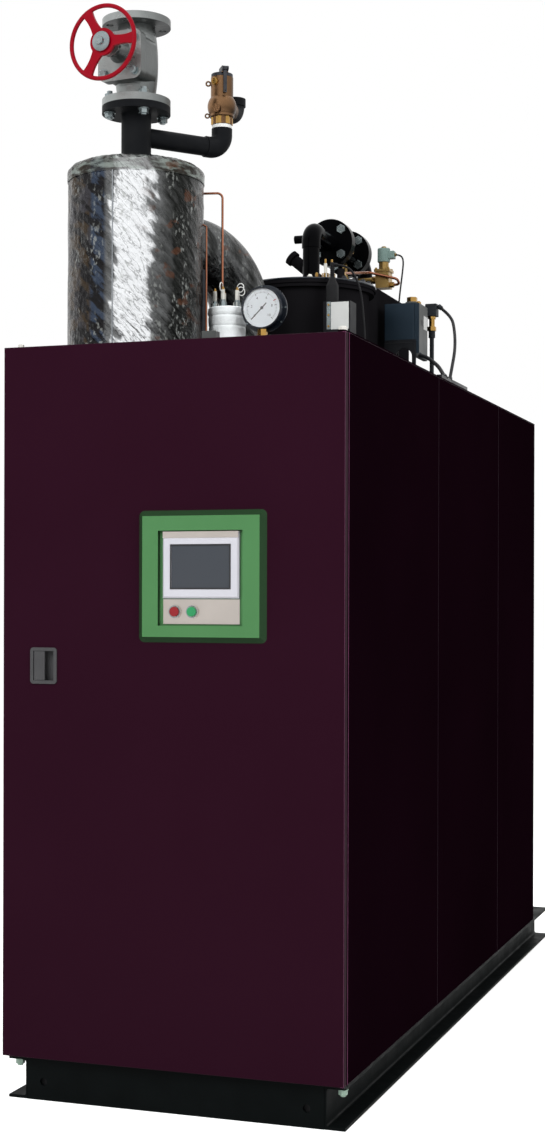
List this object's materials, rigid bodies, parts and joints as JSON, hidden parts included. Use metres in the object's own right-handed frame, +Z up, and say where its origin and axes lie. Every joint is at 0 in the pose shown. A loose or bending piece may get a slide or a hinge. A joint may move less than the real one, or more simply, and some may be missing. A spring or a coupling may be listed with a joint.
{
  "type": "industrial steam boiler package",
  "caption": "Upright steam boiler package in a panelled cabinet on a channel base, with steam separator, stop valve, safety valve and gas train on its roof.",
  "frame": {"origin": "on the floor at the middle of the overall width and depth", "axes": "+X to the right seen from the door, +Y from the door to the rear, +Z up"},
  "size_m": [0.85, 2.534, 2.674],
  "materials": {
    "base_steel": "semi-gloss dark paint",
    "front_paint": "satin powder coat, dark plum",
    "panel_paint": "satin powder coat, dark plum",
    "bare_steel": "galvanised sheet",
    "foil": "crinkled foil jacket",
    "black_pipe": "black paint on steel pipe",
    "valve_silver": "silver paint on casting",
    "wheel_red": "gloss red",
    "bronze": "cast bronze",
    "dark_metal": "dark grey",
    "pot_white": "white insulation wrap",
    "ceramic_white": "glazed ceramic",
    "copper": "bright copper tube",
    "gauge_black": "black gauge case",
    "glass": "clear",
    "pointer": "black",
    "drum_black": "gloss black",
    "solenoid": "brass body with grey-green coil",
    "motor_blue": "dark blue cover with grey side",
    "switch_dark": "dark plastic on brass",
    "transformer": "dark housing with bare plate",
    "rubber": "black rubber",
    "green_paint": "satin green",
    "bezel_silver": "silver-grey",
    "screen": "dark display",
    "button_plate": "brushed",
    "red": "gloss",
    "green": "gloss",
    "handle_grey": "dark grey"
  },
  "bodies": {
    "boiler": {"balance_tube": "copper", "base_channel_front": "base_steel", "base_channel_left": "base_steel", "base_channel_rear": "base_steel", "base_channel_right": "base_steel", "boiler_body": "bare_steel", "burner_drum": "drum_black", "cabinet_floor": "base_steel", "cable_trunking": "black_pipe", "control_bulkhead": "bare_steel", "control_motor": "motor_blue", "crossover_duct": "foil", "door_frame": "base_steel", "drum_lid": "drum_black", "electrode_pot": "pot_white", "flue_collar": "bare_steel", "gas_drop_pipe": "black_pipe", "gas_riser": "black_pipe", "gas_valve": "black_pipe", "gauge_stand": "black_pipe", "igniter_lead": "rubber", "igniters": "ceramic_white", "ignition_boot": "rubber", "ignition_transformer": "transformer", "level_electrodes": "ceramic_white", "motor_bracket": "black_pipe", "motor_cable": "rubber", "pilot_cable": "rubber", "pilot_solenoid": "solenoid", "pilot_tube": "copper", "pressure_gauge_case": "gauge_black", "pressure_gauge_glass": "glass", "pressure_gauge_pointer": "pointer", "pressure_switch": "switch_dark", "rear_panel": "panel_paint", "roof_panel": "panel_paint", "safety_valve_body": "bronze", "safety_valve_outlet": "black_pipe", "separator_jacket": "foil", "side_panel_left_front": "panel_paint", "side_panel_left_middle": "panel_paint", "side_panel_left_rear": "panel_paint", "side_panel_right_front": "panel_paint", "side_panel_right_middle": "panel_paint", "side_panel_right_rear": "panel_paint", "steam_riser": "black_pipe", "steam_valve_body": "valve_silver", "steam_valve_bonnet": "valve_silver", "switch_cable": "rubber"},
    "door": {"front_door": "front_paint", "handle_bowl": "handle_grey", "panel_surround": "green_paint", "touch_unit_bezel": "bezel_silver", "touch_screen": "screen", "button_plate": "button_plate"},
    "paddle": {"handle_paddle": "handle_grey"},
    "stop_button_body": {"stop_button": "red"},
    "start_button_body": {"start_button": "green"},
    "wheel": {"handwheel": "wheel_red"},
    "lever": {"safety_valve_lever": "dark_metal"}
  },
  "joints": [
    {"name": "front_door_hinge", "type": "hinge", "parent": "boiler", "child": "door", "pos_m": [0.414, -1.242, 0.9], "axis": [0, 0, 1], "range_deg": [0, 110]},
    {"name": "handle_paddle_hinge", "type": "hinge", "parent": "door", "child": "paddle", "pos_m": [-0.341, -1.253, 1.038], "axis": [0, 0, -1], "range_deg": [0, 40], "stiffness_Nm_per_rad": 0.05},
    {"name": "stop_button_slide", "type": "slide", "parent": "door", "child": "stop_button_body", "axis": [0, 1, 0], "range_m": [0, 0.003], "stiffness_N_per_m": 300},
    {"name": "start_button_slide", "type": "slide", "parent": "door", "child": "start_button_body", "axis": [0, 1, 0], "range_m": [0, 0.003], "stiffness_N_per_m": 300},
    {"name": "handwheel_hinge", "type": "hinge", "parent": "boiler", "child": "wheel", "pos_m": [-0.26656, -1.04208, 2.573], "axis": [-0.1045, -0.9945, 0], "range_deg": [0, 2520]},
    {"name": "safety_lever_hinge", "type": "hinge", "parent": "boiler", "child": "lever", "pos_m": [-0.06771, -0.7136, 2.583], "axis": [-0.829, -0.5592, 0], "range_deg": [0, 60]}
  ]
}
